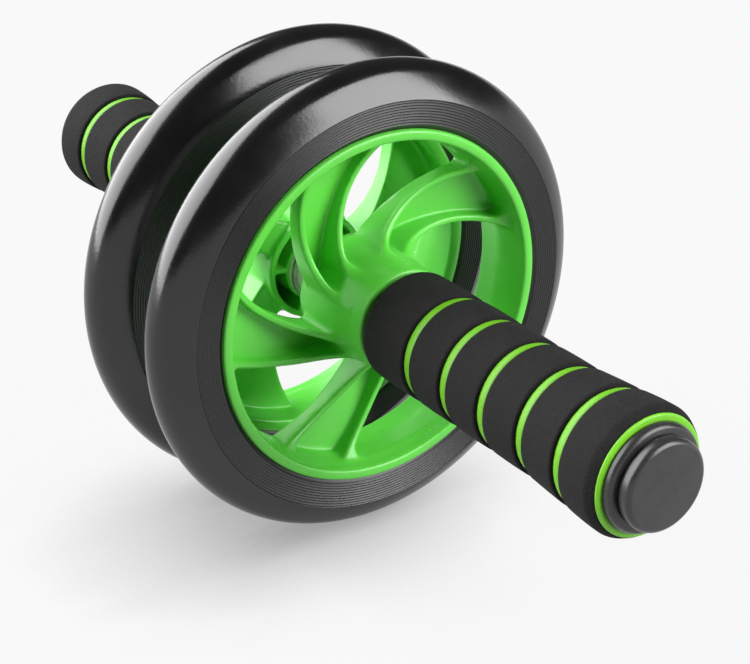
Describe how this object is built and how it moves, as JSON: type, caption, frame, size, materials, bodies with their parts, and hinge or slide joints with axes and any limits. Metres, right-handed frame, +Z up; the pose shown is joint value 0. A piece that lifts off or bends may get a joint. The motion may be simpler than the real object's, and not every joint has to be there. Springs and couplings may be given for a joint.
{
  "type": "ab wheel roller",
  "caption": "Hand-held exercise roller: two spoked wheels with black tyres turn freely side by side on one axle, between a ribbed foam grip on each side.",
  "frame": {"origin": "middle of the axle, half way between the two wheels", "axes": "+Y along the axle towards the left grip, +Z up, +X the way the wheels roll"},
  "size_m": [0.16, 0.3318, 0.16],
  "materials": {
    "hub_plastic": "glossy",
    "tyre_rubber": "glossy tread, satin side",
    "band_foam": "matte foam",
    "liner_foam": "satin foam",
    "core_plastic": "satin",
    "cap_plastic": "satin",
    "bush_plastic": "satin",
    "axle_steel": "ground",
    "zinc_steel": "zinc plated",
    "spring_steel": "black oxide"
  },
  "bodies": {
    "axle_and_grips": {"axle_rod": "axle_steel", "center_spacer": "bush_plastic", "right_inner_thrust_washer": "zinc_steel", "right_outer_thrust_washer": "zinc_steel", "right_retaining_ring": "spring_steel", "right_grip_core": "core_plastic", "right_foam_liner": "liner_foam", "right_end_washer": "zinc_steel", "right_end_screw": "zinc_steel", "right_end_cap": "cap_plastic", "right_foam_band_1": "band_foam", "right_foam_band_2": "band_foam", "right_foam_band_3": "band_foam", "right_foam_band_4": "band_foam", "right_foam_band_5": "band_foam", "right_foam_band_6": "band_foam", "left_inner_thrust_washer": "zinc_steel", "left_outer_thrust_washer": "zinc_steel", "left_retaining_ring": "spring_steel", "left_grip_core": "core_plastic", "left_foam_liner": "liner_foam", "left_end_washer": "zinc_steel", "left_end_screw": "zinc_steel", "left_end_cap": "cap_plastic", "left_foam_band_1": "band_foam", "left_foam_band_2": "band_foam", "left_foam_band_3": "band_foam", "left_foam_band_4": "band_foam", "left_foam_band_5": "band_foam", "left_foam_band_6": "band_foam"},
    "right_wheel": {"right_hub": "hub_plastic", "right_tyre": "tyre_rubber", "right_inner_bush": "bush_plastic", "right_outer_bush": "bush_plastic"},
    "left_wheel": {"left_hub": "hub_plastic", "left_tyre": "tyre_rubber", "left_inner_bush": "bush_plastic", "left_outer_bush": "bush_plastic"}
  },
  "joints": [
    {"name": "right_wheel_spin", "type": "hinge", "parent": "axle_and_grips", "child": "right_wheel", "pos_m": [0, -0.0198, 0], "axis": [0, 1, 0], "continuous": true},
    {"name": "left_wheel_spin", "type": "hinge", "parent": "axle_and_grips", "child": "left_wheel", "pos_m": [0, 0.0198, 0], "axis": [0, 1, 0], "continuous": true}
  ]
}
